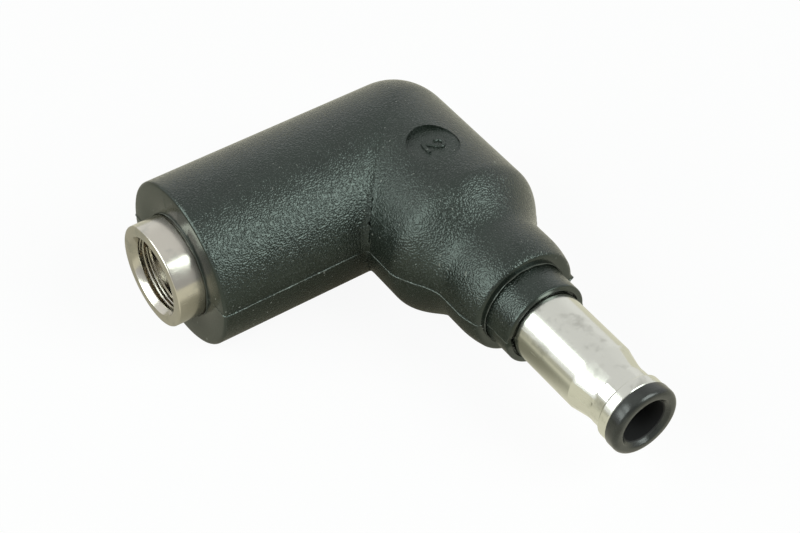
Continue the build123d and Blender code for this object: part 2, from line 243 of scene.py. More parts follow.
@dataclass(frozen=True)
class MouldedVinyl:
    """Soft black plastic with a fine sparked grain, a pale parting line that is partly painted highlight,
    and a few specks of dust.
    """

    name: str
    shade: Colour = (0.0072, 0.0098, 0.0072)
    worn_shade: Colour = (0.0125, 0.0165, 0.0125)
    worn_between: Span = (0.3, 0.7)
    gloss_tint: Colour = (0.86, 1.0, 0.93)
    roughness: float = 0.10
    cloud_roughness: float = 0.08
    grain_roughness: float = 0.10
    refraction: float = 1.54
    grain_size: float = 0.11 * MM
    grain_depth: float = 0.052 * MM
    grain_tone_and_sparkle: Colour = (0.030, 0.034, 0.030)
    grain_sparkle_between: Span = (0.56, 0.75)
    grain_on_smooth_faces: float = 0.1
    smooth_beyond_x: float = -18.02 * MM
    smooth_below_y: float = 2.47 * MM
    end_grain_fade: float = 0.1 * MM
    nose_grain_fade: float = 0.15 * MM
    cloud_size: float = 3.0 * MM
    wave_depth: float = 0.05 * MM
    wave_strength: float = 0.35
    line_tone_and_highlight: Colour = (0.085, 0.09, 0.078)
    line_width: float = 0.05 * MM
    line_gap_size: float = 0.7 * MM
    line_gap_between: Span = (0.38, 0.56)
    line_in_gaps: float = 0.2
    dust: Colour = (0.32, 0.32, 0.29)
    dust_size: float = 0.30 * MM
    dust_between: Span = (0.745, 0.79)
    dust_share: float = 0.5

    def material(self) -> bpy.types.Material:
        """Grain that fades out on the flat faces, cloudy colour, and specks along the line and all over.

        Returns:
            The finished material.
        """
        material, graph = new_material(self.name)
        spot = graph.place()
        across, along, height = graph.axes(spot)
        grain = graph.speckle(spot, self.grain_size, 0.0)
        cloud = graph.speckle(spot, self.cloud_size, 3.0)
        moulded = across.above(self.smooth_beyond_x, self.smooth_beyond_x + self.end_grain_fade)
        moulded = moulded * along.above(self.smooth_below_y, self.smooth_below_y + self.nose_grain_fade)
        grained = moulded * (1.0 - self.grain_on_smooth_faces) + self.grain_on_smooth_faces
        speck = graph.speckle(spot, self.dust_size, 1.0).above(*self.dust_between)
        # The parting line is painted pale: partly stress-whitened flash, partly a painted highlight along
        # its thin ridge.
        off_line = (height * height).above((0.5 * self.line_width) ** 2, self.line_width**2)
        torn = graph.speckle(spot, self.line_gap_size, 3.0, 0.7).above(*self.line_gap_between)
        line = (1.0 - off_line) * (torn * (1.0 - self.line_in_gaps) + self.line_in_gaps)
        colour = graph.blend(cloud.above(*self.worn_between), self.shade, self.worn_shade)
        # Grain peaks are paler: partly the grain's own tone, partly a painted sparkle where the tips catch
        # light.
        colour = graph.blend(grain.above(*self.grain_sparkle_between) * grained, colour, self.grain_tone_and_sparkle)
        colour = graph.blend(line, colour, self.line_tone_and_highlight)
        colour = graph.blend(speck * self.dust_share, colour, self.dust)
        roughness = cloud * self.cloud_roughness + grain * self.grain_roughness + self.roughness
        waves = graph.bump(cloud, self.wave_depth, self.wave_strength)
        graph.surface(
            {
                "Base Color": colour,
                "Roughness": roughness,
                "Normal": graph.bump(grain * grained, self.grain_depth, 1.0, waves),
                "Specular Tint": self.gloss_tint,
                "IOR": self.refraction,
            }
        )
        return material


@dataclass(frozen=True)
class TurnedNickel:
    """Satin nickel plating over turned brass, with tool rings, cloudy stains and short scratches."""

    name: str
    rings_along_x: bool
    shade: Colour = (0.655, 0.66, 0.60)
    stain: Colour = (0.42, 0.42, 0.375)
    stain_size: float = 1.6 * MM
    stain_between: Span = (0.50, 0.72)
    stain_share: float = 0.75
    stain_roughness: float = 0.13
    bore_shade_and_grime: Colour = (0.17, 0.16, 0.12)
    bore_shade_share: float = 0.3
    bore_shade_fades_from: float = 0.92
    roughness: float = 0.10
    axis_y: float = 0.0
    bore_shaded_within: float = 0.1 * MM
    rings_per_metre: float = 9000.0
    ring_waves_per_metre: float = 500.0
    ring_depth: float = 0.0009 * MM
    ring_strength: float = 0.6
    ring_roughness: float = 0.06
    scratch_stretch: Triple = (420.0, 420.0, 6200.0)
    scratch_turn: Triple = (0.5, 0.9, 0.3)
    scratch_between: Span = (0.69, 0.76)
    scratch_depth: float = 0.004 * MM
    scratch_strength: float = 0.5
    scratch_roughness: float = 0.12
    pit_size: float = 0.22 * MM
    pit_between: Span = (0.66, 0.78)
    pit_share: float = 0.25
    pit_height: float = 0.6

    def material(self) -> bpy.types.Material:
        """Rings run round the piece, stains and scratches lie over them.

        Returns:
            The finished material.
        """
        material, graph = new_material(self.name)
        spot = graph.place()
        fine, coarse = self.rings_per_metre, self.ring_waves_per_metre
        stretch = (fine, coarse, coarse) if self.rings_along_x else (coarse, fine, coarse)
        rings = graph.speckle(graph.place(stretch), 1.0, 2.0, 0.6)
        cloud = graph.speckle(spot, self.stain_size, 4.0, 0.6)
        scratch_place = graph.place(self.scratch_stretch, self.scratch_turn)
        scratch = graph.speckle(scratch_place, 1.0, 1.0).above(*self.scratch_between)
        pits = graph.speckle(spot, self.pit_size, 2.0, 0.7).above(*self.pit_between)
        along, height = graph.axes(spot, "YZ")
        off_axis = along - self.axis_y
        away = off_axis * off_axis + height * height
        # Inside the bore radius the nickel darkens in clouds: painted shade, with some grime.
        outside = away.above((self.bore_shaded_within * self.bore_shade_fades_from) ** 2, self.bore_shaded_within**2)
        stained = cloud.above(*self.stain_between) * self.stain_share + pits * self.pit_share
        colour = graph.blend(stained, self.shade, self.stain)
        colour = graph.blend((1.0 - outside) * (cloud * self.bore_shade_share), colour, self.bore_shade_and_grime)
        roughness = rings * self.ring_roughness + cloud * self.stain_roughness
        roughness = roughness + scratch * self.scratch_roughness + self.roughness
        normal = graph.bump(rings, self.ring_depth, self.ring_strength)
        marks = scratch + pits * self.pit_height
        normal = graph.bump(marks, self.scratch_depth, self.scratch_strength, normal)
        graph.surface({"Base Color": colour, "Metallic": 1.0, "Roughness": roughness, "Normal": normal})
        return material


@dataclass(frozen=True)
class GlossyTip:
    """Dark grey insulating plastic of the plug's tip, smooth and a little shiny, with faint clouds."""

    name: str
    shade: Colour = (0.014, 0.016, 0.0135)
    pale: Colour = (0.027, 0.030, 0.026)
    pale_between: Span = (0.35, 0.7)
    roughness: float = 0.13
    painted_bore_shade: Colour = (0.003, 0.003, 0.003)
    bore_radius: float = 1.76 * MM
    bore_fades_to: float = 1.05
    bore_roughness: float = 0.5
    cloud_size: float = 0.9 * MM
    cloud_roughness: float = 0.12
    texture_size: float = 0.10 * MM
    texture_depth: float = 0.006 * MM
    texture_strength: float = 0.6
    texture_roughness: float = 0.08

    def material(self) -> bpy.types.Material:
        """Smooth plastic with a fine texture, dull inside the bore, which painted shade makes dark.

        Returns:
            The finished material.
        """
        material, graph = new_material(self.name)
        spot = graph.place()
        across, height = graph.axes(spot, "XZ")
        cloud = graph.speckle(spot, self.cloud_size, 3.0)
        fine = graph.speckle(spot, self.texture_size, 2.0)
        away = across * across + height * height
        outside = away.above(self.bore_radius**2, (self.bore_radius * self.bore_fades_to) ** 2)
        colour = graph.blend(cloud.above(*self.pale_between), self.shade, self.pale)
        # Inside the bore the colour is painted near black: painted shade of the deep hole.
        colour = graph.blend(outside, self.painted_bore_shade, colour)
        roughness = cloud * self.cloud_roughness + fine * self.texture_roughness
        roughness = roughness + (1.0 - outside) * self.bore_roughness + self.roughness
        normal = graph.bump(fine, self.texture_depth, self.texture_strength)
        graph.surface({"Base Color": colour, "Roughness": roughness, "Normal": normal})
        return material


class Stuff(Enum):
    """What a hidden piece is made of.

    Each has the size of its clouds, the noise between which they come in, the size and the depth of its
    fine texture, and how much its roughness varies.
    """

    METAL = (0.8 * MM, 0.4, 0.75, 0.08 * MM, 0.004 * MM, 0.2)
    PLASTIC = (1.2 * MM, 0.3, 0.7, 0.12 * MM, 0.008 * MM, 0.1)


@dataclass(frozen=True)
class InnerFinish:
    """Finish of hidden pieces of one kind, with clouds of a second shade and a fine texture."""

    name: str
    stuff: Stuff
    shade: Colour
    clouded: Colour
    roughness: float
    nodes: tuple[str, ...]

    def material(self) -> bpy.types.Material:
        """Metal tarnishes in clouds that are rougher too; plastic is cloudy and has a faint skin.

        Returns:
            The finished material.
        """
        material, graph = new_material(self.name)
        spot = graph.place()
        metal = self.stuff is Stuff.METAL
        cloud_size, low, high, texture_size, texture_depth, spread = self.stuff.value
        cloud = graph.speckle(spot, cloud_size, 3.0)
        fine = graph.speckle(spot, texture_size, 2.0)
        graph.surface(
            {
                "Base Color": graph.blend(cloud.above(low, high), self.shade, self.clouded),
                "Metallic": 1.0 if metal else 0.0,
                "Roughness": (cloud if metal else fine) * spread + (self.roughness - spread / 2),
                "Normal": graph.bump(fine, texture_depth, 0.5),
            }
        )
        return material


class Leg(Enum):
    """The two legs of the elbow, each with its axis: a point on it, its way out, and a way across it."""

    PLUG = (Vector((0, 0, 0)), Vector((0, -1, 0)), Vector((1, 0, 0)))
    SOCKET = (Vector((0, SOCKET_AXIS_Y, 0)), Vector((-1, 0, 0)), Vector((0, 1, 0)))

    @property
    def origin(self) -> Vector:
        """Point from which stations are counted."""
        return self.value[0]

    @property
    def way(self) -> Vector:
        """Direction in which the leg opens."""
        return self.value[1]

    @property
    def across(self) -> Vector:
        """Level direction at a right angle to the axis."""
        return self.value[2]

    def point(self, station: float, radius: float) -> Vector:
        """Point at a station along the axis and a radius from it."""
        return self.origin + self.way * station + self.across * radius

    def station_radius(self, point: Vector) -> Point:
        """Station and radius of a point."""
        away = point - self.origin
        station = away.dot(self.way)
        return station, (away - self.way * station).length


class Turning:
    """A mesh in millimetres that is turned on one leg's axis and then worked on."""

    def __init__(self, leg: Leg, steps: int = 144) -> None:
        """Starts an empty mesh for a leg, to be turned in a number of steps."""
        self.leg = leg
        self.steps = steps
        self.bm = bmesh.new()

    def outline(self, points: Iterable[Point], closed: bool = True) -> list[bmesh.types.BMEdge]:
        """Draws an outline of stations and radii.

        Args:
            points: Corners of the outline.
            closed: Whether the last corner joins the first.

        Returns:
            The outline's edges, in order.
        """
        corners = [self.bm.verts.new(self.leg.point(*point)) for point in points]
        pairs = list(zip(corners, corners[1:]))
        if closed:
            pairs.append((corners[-1], corners[0]))
        return [self.bm.edges.new(pair) for pair in pairs]

    def curve(self, edge: bmesh.types.BMEdge, cuts: int, radius_at: Callable[[float], float]) -> None:
        """Divides an outline edge and lays its new points on a curve.

        Args:
            edge: The straight edge.
            cuts: How many points it gets.
            radius_at: Radius for each station.
        """
        made = bmesh.ops.subdivide_edges(self.bm, edges=[edge], cuts=cuts)
        for item in made["geom_inner"]:
            if isinstance(item, bmesh.types.BMVert):
                station, _ = self.leg.station_radius(item.co)
                item.co = self.leg.point(station, radius_at(station))

    def sweep(self, corners: Iterable[Point], angle: float, steps: int, rise: float = 0.0) -> None:
        """Sweeps a closed section round the axis as a bar with two ends.

        Args:
            corners: Station and radius of the section's corners.
            angle: How far it goes round.
            steps: Facets along it.
            rise: How far it moves along the axis meanwhile.
        """
        face = self.bm.faces.new([self.bm.verts.new(self.leg.point(*corner)) for corner in corners])
        bmesh.ops.spin(
            self.bm,
            geom=[face, *face.edges, *face.verts],
            cent=self.leg.origin,
            axis=self.leg.way,
            dvec=self.leg.way * (rise / steps),
            angle=angle,
            steps=steps,
            use_merge=False,
        )

    def spin(self) -> None:
        """Turns everything drawn so far once round the axis."""
        bmesh.ops.spin(
            self.bm,
            geom=[*self.bm.verts, *self.bm.edges],
            cent=self.leg.origin,
            axis=self.leg.way,
            angle=2 * math.pi,
            steps=self.steps,
            use_merge=True,
        )
        bmesh.ops.remove_doubles(self.bm, verts=self.bm.verts, dist=SAME_PLACE)
        bmesh.ops.recalc_face_normals(self.bm, faces=self.bm.faces)

    def rims(self, *places: Point) -> list[bmesh.types.BMEdge]:
        """Edges that run round the axis at the given stations and radii.

        Args:
            *places: Station and radius of each rim.

        Returns:
            The edges of all of them.
        """
        found = []
        for edge in self.bm.edges:
            spots = [self.leg.station_radius(vert.co) for vert in edge.verts]
            for station, radius in places:
                if all(math.dist(spot, (station, radius)) < NEARBY for spot in spots):
                    found.append(edge)
        return found

    def round_rims(self, amount: float, *places: Point, segments: int = 3) -> None:
        """Rounds the rims at the given stations and radii.

        Args:
            amount: Width of the rounding.
            *places: Station and radius of each rim.
            segments: Facets across the rounding.
        """
        bevel(self.bm, self.rims(*places), amount, segments)


def bevel(bm: bmesh.types.BMesh, edges: list[bmesh.types.BMEdge], amount: float, segments: int) -> list:
    """Rounds edges.

    Args:
        bm: The mesh.
        edges: Edges to round.
        amount: Width of the rounding.
        segments: Facets across it.

    Returns:
        The new faces.
    """
    made = bmesh.ops.bevel(
        bm,
        geom=edges,
        offset=amount,
        offset_type="OFFSET",
        segments=segments,
        profile=0.5,
        affect="EDGES",
        material=-1,
        clamp_overlap=True,
    )
    return made["faces"]


def raise_seam(
    bm: bmesh.types.BMesh,
    shows: Callable[[Vector], bool],
    width: float,
    height_at: Callable[[Vector], float],
) -> list[bmesh.types.BMVert]:
    """Raises a thin ridge at mid-height, where the two halves of a mould met.

    Args:
        bm: The mesh.
        shows: Whether the skin at a point has the ridge.
        width: Half the width of the ridge.
        height_at: Height of the ridge at a point.

    Returns:
        The vertices on the ridge.
    """

    def on_seam(vert: bmesh.types.BMVert) -> bool:
        """Whether a vertex lies at mid-height on skin that has the ridge."""
        return abs(vert.co.z) < SAME_PLACE and shows(vert.co)

    seam = [edge for edge in bm.edges if len(edge.link_faces) == 2 and all(map(on_seam, edge.verts))]
    bevel(bm, seam, width, 2)
    bm.normal_update()
    ridge = [vert for vert in bm.verts if on_seam(vert)]
    for vert in ridge:
        vert.co += vert.normal * max(0.0, height_at(vert.co))
    return ridge


def finish_mesh(bm: bmesh.types.BMesh, name: str, sharp: float = SHARP_ANGLE) -> bpy.types.Object:
    """Turns a mesh in millimetres into an object in metres with smooth faces and sharp rims.

    Args:
        bm: The mesh, which is used up.
        name: Name of the object.
        sharp: Angle from which an edge stays sharp.

    Returns:
        The object, at the origin.
    """
    bmesh.ops.remove_doubles(bm, verts=bm.verts, dist=SAME_PLACE)
    bmesh.ops.recalc_face_normals(bm, faces=bm.faces)
    bmesh.ops.scale(bm, vec=(MM, MM, MM), verts=bm.verts)
    for face in bm.faces:
        face.smooth = True
    mesh = bpy.data.meshes.new(name)
    bm.to_mesh(mesh)
    bm.free()
    mesh.set_sharp_from_angle(angle=sharp)
    return add_object(name, mesh)


def add_object(name: str, data: bpy.types.ID) -> bpy.types.Object:
    """A new object of the scene, which shows some data."""
    made = bpy.data.objects.new(name, data)
    bpy.context.scene.collection.objects.link(made)
    return made


def final_mesh(item: bpy.types.Object) -> bpy.types.Mesh:
    """A new mesh of an object as its modifiers, or a curve's settings, shape it."""
    bpy.context.view_layer.update()
    return bpy.data.meshes.new_from_object(item.evaluated_get(bpy.context.evaluated_depsgraph_get()))


def paint(mesh: bpy.types.Mesh, material: bpy.types.Material) -> None:
    """Makes a material the only one of a mesh."""
    mesh.materials.clear()
    mesh.materials.append(material)


def dress(piece: bpy.types.Object, material: bpy.types.Material, slot: str, *nodes: str) -> None:
    """Gives a new piece its finish, its body and the nodes it stands for.

    Args:
        piece: The new piece.
        material: Its finish.
        slot: The record's slot that the finish belongs to. Not used.
        *nodes: Solid nodes that it replaces.
    """
    paint(piece.data, material)
    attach(piece, "root")
    if nodes:
        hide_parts(*nodes)
    LOG.info("%s: %d faces, %s", piece.name, len(piece.data.polygons), material.name)


def ease(share: float) -> float:
    """Eased share from 0 to 1, level at both ends."""
    share = min(1.0, max(0.0, share))
    return share * share * (3 - 2 * share)


def ragged(point: Vector, size: float, seed: float = 0.0) -> float:
    """Repeatable random number from -1 to 1 that changes along a piece.

    Args:
        point: Where it is read.
        size: Length over which it changes.
        seed: Picks another pattern.

    Returns:
        The number.
    """
    return noise.noise(point / size + Vector((seed, seed, seed)))


@dataclass
class ElbowMoulding:
    """The moulded elbow with its parting line, its number recess, and flash round the sleeve and collar."""

    leg_radius: float = 6.35
    leg_offset: float = 0.25
    corner_radius: float = 5.3
    corner_steps: int = 36
    socket_reach: float = 18.1
    end_break: float = 0.25
    sleeve_hole: float = 3.93
    sleeve_hole_end: float = 8.15
    nose_offset: float = 0.1
    nose_radius: float = 4.5
    nose_face_radius: float = 4.15
    nose_setback: float = 2.45
    nose_taper: float = 2.2
    nose_break: float = 0.3
    collar_hole: float = 3.35
    collar_hole_end: float = -4.6
    hole_break: float = 0.05
    hole_margin: float = 0.1
    shoulder_start: float = 6.2
    shoulder_length: float = 4.2
    shoulder_cuts: int = 20
    nose_cuts: int = 4
    taper_cuts: int = 8
    loop_spacing: float = 0.35
    steps: int = 192
    crease_fill: float = 0.5
    crease_fill_low: float = 0.55
    crease_fills_from: float = -0.5
    crease_lip: float = 1.0
    crease_rise: float = 0.13
    crease_width: float = 0.06
    crease_top: float = 5.6
    crease_inset: float = 1.5
    crease_ridge: float = 0.03
    crease_drop: float = 0.17
    crease_drops_from: float = 0.8
    crease_drops_over: float = 1.8
    lip_starts: float = -0.4
    lip_overlap: float = 0.02
    lip_fades_from: float = 2.0
    lip_fades_over: float = 3.4
    line_width: float = 0.05
    line_height: float = 0.055
    line_sway: float = 0.02
    line_sway_size: float = 1.7
    line_waves: tuple[Triple, ...] = ((0.7, 0.9, 0.0), (0.4, 0.25, 5.0))
    spur_at: Triple = (4.25, 2.5, 0.0)
    spur_height: float = 0.22
    spur_reach: float = 0.45
    gap_angle: float = math.radians(103)
    gap_length: float = math.radians(18)
    gap_radii: Span = (4.10, 4.22)
    gap_depth: float = 0.5
    gap_steps: int = 12
    gap_end_share: float = 0.12
    cutter_clear: float = 0.2
    flash_steps: int = 160
    flash_root: float = 0.1
    flash_height: float = 0.07
    flash_width: float = 0.04
    flash_lean: float = 0.05
    flash_sway_size: float = 2.4
    flash_lean_size: float = 0.8
    sleeve_flash_radius: float = 4.0
    sleeve_flash_gap: float = 0.30
    sleeve_flash_reach: float = math.radians(50)
    collar_flash_radius: float = 3.45
    recess_centre: Point = (0.35, 14.2)
    recess_radius: float = 1.96
    recess_draft: float = 0.02
    recess_floor: float = 5.95
    recess_steps: int = 96
    number_strokes: tuple[Point, ...] = (
        (0.36, 0.36),
        (0.60, 0.42),
        (0.84, 0.22),
        (0.86, -0.14),
        (0.62, -0.42),
        (0.32, -0.34),
        (-0.02, 0.06),
        (-0.56, 0.52),
        (-0.56, 0.52),
        (-0.60, 0.0),
        (-0.62, -0.48),
    )
    number_stroke_width: float = 0.155
    vinyl: MouldedVinyl = MouldedVinyl("black_vinyl")
    number_vinyl: MouldedVinyl = MouldedVinyl("number_vinyl", grain_depth=0.008 * MM)
    # The flash rings are painted pale all over: a painted highlight on their thin edges.
    scuffed_vinyl: MouldedVinyl = MouldedVinyl("scuffed_vinyl", (0.075, 0.077, 0.066), (0.15, 0.15, 0.13))

    @property
    def corner(self) -> Vector:
        """Foot of the outer corner's turning axis, a little outside both legs' centre lines."""
        inset = self.leg_radius - self.corner_radius
        return Vector((self.leg_offset + inset, SOCKET_AXIS_Y + inset, 0))

    def _shoulder_share(self, station: float) -> float:
        """Share from 0 on the nose to 1 behind the shoulder."""
        return ease((-station - self.shoulder_start) / self.shoulder_length)

    def _shoulder_radius(self, station: float) -> float:
        """Radius of the plug leg behind, on and before its shoulder."""
        return self.nose_radius + (self.leg_radius - self.nose_radius) * self._shoulder_share(station)

    def _nose_radius(self, station: float) -> float:
        """Radius of the nose where it draws in to its face."""
        share = 1 - (-station - self.nose_setback) / self.nose_taper
        drop = self.nose_radius - self.nose_face_radius
        return self.nose_radius - drop * share * share

    def _cuts(self, length: float) -> int:
        """Points that a run of a length gets."""
        return max(1, round(length / self.loop_spacing))

    def _meet_on_mitre(
        self, turning: Turning, plane_at: Vector, plane_across: Vector, outward: Vector
    ) -> None:
        """Divides a leg at the corner's turning axis and cuts it off where the legs meet.

        Args:
            turning: The leg.
            plane_at: Foot of the corner's axis.
            plane_across: Normal of the plane along the leg through that axis.
            outward: Normal of the mitre plane, towards the part to cut off.
        """
        bm = turning.bm
        for foot, normal, clear in ((plane_at, plane_across, False), (plane_at, outward, True)):
            everything = [*bm.verts, *bm.edges, *bm.faces]
            bmesh.ops.bisect_plane(
                bm, geom=everything, dist=SAME_PLACE, plane_co=foot, plane_no=normal, clear_outer=clear
            )

    def _socket_leg(self) -> Turning:
        """Straight leg with its end face and the blind hole for the sleeve."""
        leg = Turning(Leg.SOCKET, self.steps)
        edges = leg.outline(
            [
                (-self.corner.x, self.leg_radius),
                (self.socket_reach, self.leg_radius),
                (self.socket_reach, self.sleeve_hole),
                (self.sleeve_hole_end, self.sleeve_hole),
                (self.sleeve_hole_end, 0),
            ],
            closed=False,
        )
        leg.curve(edges[0], self._cuts(self.socket_reach + self.corner.x), lambda station: self.leg_radius)
        leg.spin()
        leg.round_rims(self.end_break, (self.socket_reach, self.leg_radius), segments=4)
        leg.round_rims(self.hole_break, (self.socket_reach, self.sleeve_hole), segments=2)
        self._meet_on_mitre(leg, self.corner, Vector((0, 1, 0)), Vector((1, -1, 0)))
        return leg

    def _plug_leg(self) -> Turning:
        """Leg that draws in along an S to the nose, with the blind hole for the collar."""
        leg = Turning(Leg.PLUG, self.steps)
        shoulder_end = self.shoulder_start + self.shoulder_length
        taper_start = self.nose_setback + self.nose_taper
        edges = leg.outline(
            [
                (-self.corner.y, self.leg_radius),
                (-shoulder_end, self.leg_radius),
                (-self.shoulder_start, self.nose_radius),
                (-taper_start, self.nose_radius),
                (-self.nose_setback, self.nose_face_radius),
                (-self.nose_setback, self.collar_hole),
                (self.collar_hole_end, self.collar_hole),
                (self.collar_hole_end, 0),
            ],
            closed=False,
        )
        leg.curve(edges[0], self._cuts(self.corner.y - shoulder_end), lambda station: self.leg_radius)
        leg.curve(edges[1], self.shoulder_cuts, self._shoulder_radius)
        leg.curve(edges[2], self.nose_cuts, lambda station: self.nose_radius)
        leg.curve(edges[3], self.taper_cuts, self._nose_radius)
        leg.spin()
        leg.round_rims(self.nose_break, (-self.nose_setback, self.nose_face_radius), segments=4)
        leg.round_rims(self.hole_break, (-self.nose_setback, self.collar_hole), segments=2)
        for vert in leg.bm.verts:
            station, radius = Leg.PLUG.station_radius(vert.co)
            if radius > self.collar_hole + self.hole_break + 0.01:
                share = self._shoulder_share(station)
                vert.co.x += self.nose_offset + (self.leg_offset - self.nose_offset) * share
        self._meet_on_mitre(leg, self.corner, Vector((1, 0, 0)), Vector((-1, 1, 0)))
        return leg

    def _join(self, first: bmesh.types.BMesh, second: bmesh.types.BMesh) -> bmesh.types.BMesh:
        """Adds one mesh to another.

        Args:
            first: The mesh that grows.
            second: The mesh that is used up.

        Returns:
            The joined mesh.
        """
        carrier = bpy.data.meshes.new("carrier")
        second.to_mesh(carrier)
        second.free()
        first.from_mesh(carrier)
        bpy.data.meshes.remove(carrier)
        return first

    def _turn_corner(self, bm: bmesh.types.BMesh) -> None:
        """Turns the outer side of the socket leg's section a right angle to meet the plug leg."""
        corner = self.corner

        def on_section(vert: bmesh.types.BMVert) -> bool:
            """Whether a vertex lies on the outer half of the section through the turning axis."""
            return abs(vert.co.x - corner.x) < NEARBY and vert.co.y > corner.y - NEARBY

        rim = [edge for edge in bm.edges if len(edge.link_faces) == 1]
        arc = [edge for edge in rim if all(map(on_section, edge.verts))]
        verts = {vert for edge in arc for vert in edge.verts}
        bmesh.ops.spin(
            bm,
            geom=[*verts, *arc],
            cent=corner,
            axis=(0, 0, -1),
            angle=math.pi / 2,
            steps=self.corner_steps,
            use_merge=False,
        )
        bmesh.ops.remove_doubles(bm, verts=bm.verts, dist=NEARBY)

    def _fill_crease(self, bm: bmesh.types.BMesh) -> None:
        """Rounds the valley on the inner corner, less towards the top, where the legs meet at a flat angle.

        Each vertex is stepped out until it lies on the smooth union of the two legs' cylinders. The socket
        leg's side of the valley then gets a low lip.

        Args:
            bm: The elbow.
        """
        corner = self.corner
        inner = [vert for vert in bm.verts if vert.co.x < corner.x - 1 and vert.co.y < corner.y - 1]
        for vert in [vert for vert in inner if self._outside(vert.co)]:
            filled = ease(vert.co.z - self.crease_fills_from)
            share = self.crease_fill_low + (1 - self.crease_fill_low) * filled
            reach = max(NEARBY, self.crease_fill * share * (1 - (vert.co.z / self.leg_radius) ** 2))
            for _ in range(4):
                to_socket = Vector((0, vert.co.y - SOCKET_AXIS_Y, vert.co.z))
                to_plug = Vector((vert.co.x - self.leg_offset, 0, vert.co.z))
                off_socket, off_plug = to_socket.length - self.leg_radius, to_plug.length - self.leg_radius
                near = 1 - abs(off_socket - off_plug) / reach
                if near > 0:
                    lean = 0.5 + 0.5 * (off_plug - off_socket) / reach
                    outward = to_socket.normalized() * lean + to_plug.normalized() * (1 - lean)
                    vert.co += outward.normalized() * (near * near * reach / 4 - min(off_socket, off_plug))
            off = (vert.co.y - corner.y) - (vert.co.x - corner.x)
            aside = 1 - (off + self.lip_overlap) / self.crease_lip
            if 0 < aside <= 1:
                fade = 1 - ease((vert.co.z - self.lip_fades_from) / self.lip_fades_over)
                lip = self.crease_rise * aside * aside * ease(vert.co.z - self.lip_starts) * fade
                vert.co += Vector((0, vert.co.y - SOCKET_AXIS_Y, vert.co.z)).normalized() * lip

    def _mark_crease(self, bm: bmesh.types.BMesh) -> None:
        """Leaves the thin line in the valley: a groove above, and a ridge of flash lower down."""
        corner = self.corner

        def in_valley(vert: bmesh.types.BMVert) -> bool:
            """Whether a vertex lies on the line where the legs meet."""
            off = (vert.co.x - corner.x) - (vert.co.y - corner.y)
            inside = vert.co.x < corner.x - self.crease_inset
            return abs(off) < NEARBY and inside and abs(vert.co.z) < self.crease_top

        valley = [edge for edge in bm.edges if all(in_valley(vert) for vert in edge.verts)]
        bevel(bm, valley, self.crease_width, 2)
        bm.normal_update()
        for vert in [vert for vert in bm.verts if in_valley(vert)]:
            fade = 1 - (vert.co.z / self.crease_top) ** 2
            drop = ease((vert.co.z - self.crease_drops_from) / self.crease_drops_over)
            vert.co += vert.normal * (self.crease_ridge - self.crease_drop * drop) * fade

    def _raise_parting_line(self, bm: bmesh.types.BMesh) -> None:
        """Raises the uneven parting line, with the spur that it ends in at the nose's rim."""

        def height_at(point: Vector) -> float:
            """Height of the line, which changes along it and is broken here and there."""
            waves = (share * ragged(point, size, seed) for share, size, seed in self.line_waves)
            return self.line_height * sum(waves, start=1.0)

        for vert in raise_seam(bm, self._outside, self.line_width, height_at):
            vert.co.z += self.line_sway * ragged(vert.co, self.line_sway_size, 9.0)
        for vert in bm.verts:
            near = 1 - (vert.co - Vector(self.spur_at)).length / self.spur_reach
            vert.co.x += self.spur_height * ease(near)

    def _outside(self, point: Vector) -> bool:
        """Whether a point lies on the outer skin and not in a hole for a metal part."""
        holes = (
            (Leg.SOCKET, self.sleeve_hole, self.sleeve_hole_end),
            (Leg.PLUG, self.collar_hole, self.collar_hole_end),
        )
        for leg, hole, end in holes:
            station, radius = leg.station_radius(point)
            if radius < hole + self.hole_margin and station > end - self.hole_margin:
                return False
        return True

    def _gap_cutter(self) -> bpy.types.Object:
        """Builds the thin crescent by which the plastic shrank away from the sleeve.

        Returns:
            The crescent, standing out of the end face.
        """
        crescent = Turning(Leg.SOCKET)
        bm = crescent.bm
        low, high = self.socket_reach - self.gap_depth, self.socket_reach + self.cutter_clear
        inner, outer = self.gap_radii
        middle = (inner + outer) / 2
        section = [(low, inner), (high, inner), (high, outer), (low, outer)]
        crescent.sweep(section, self.gap_length, self.gap_steps)
        start = min(math.atan2(vert.co.z, vert.co.y - SOCKET_AXIS_Y) for vert in bm.verts)
        for vert in bm.verts:
            share = (math.atan2(vert.co.z, vert.co.y - SOCKET_AXIS_Y) - start) / self.gap_length
            _, radius = Leg.SOCKET.station_radius(vert.co)
            wanted = middle + (radius - middle) * max(self.gap_end_share, math.sin(math.pi * share))
            vert.co.y = SOCKET_AXIS_Y + (vert.co.y - SOCKET_AXIS_Y) * wanted / radius
            vert.co.z *= wanted / radius
        turn = Matrix.Rotation(self.gap_angle - start - self.gap_length / 2, 3, "X")
        bmesh.ops.rotate(bm, cent=Leg.SOCKET.origin, matrix=turn, verts=bm.verts)
        return finish_mesh(bm, "gap_cutter")

    def _recess_cutter(self) -> bpy.types.Object:
        """Builds the round punch for the number's recess.

        Returns:
            The punch, standing out of the top.
        """
        bm = bmesh.new()
        height = self.leg_radius + 1 - self.recess_floor
        bmesh.ops.create_cone(
            bm,
            cap_ends=True,
            segments=self.recess_steps,
            radius1=self.recess_radius,
            radius2=self.recess_radius + self.recess_draft,
            depth=height,
        )
        where = Vector((*self.recess_centre, self.recess_floor + height / 2))
        bmesh.ops.translate(bm, vec=where, verts=bm.verts)
        return finish_mesh(bm, "recess_cutter")

    def _cut_away(self, moulding: bpy.types.Object, *cutters: bpy.types.Object) -> None:
        """Takes cutters out of the elbow.

        Args:
            moulding: The elbow, whose mesh is replaced.
            *cutters: The shapes to take out, which are used up.
        """
        for cutter in cutters:
            cut = moulding.modifiers.new(cutter.name, "BOOLEAN")
            cut.operation = "DIFFERENCE"
            cut.solver = "EXACT"
            cut.object = cutter
        moulding.data = final_mesh(moulding)
        moulding.modifiers.clear()
        for cutter in cutters:
            bpy.data.objects.remove(cutter)
        moulding.data.set_sharp_from_angle(angle=SHARP_ANGLE)

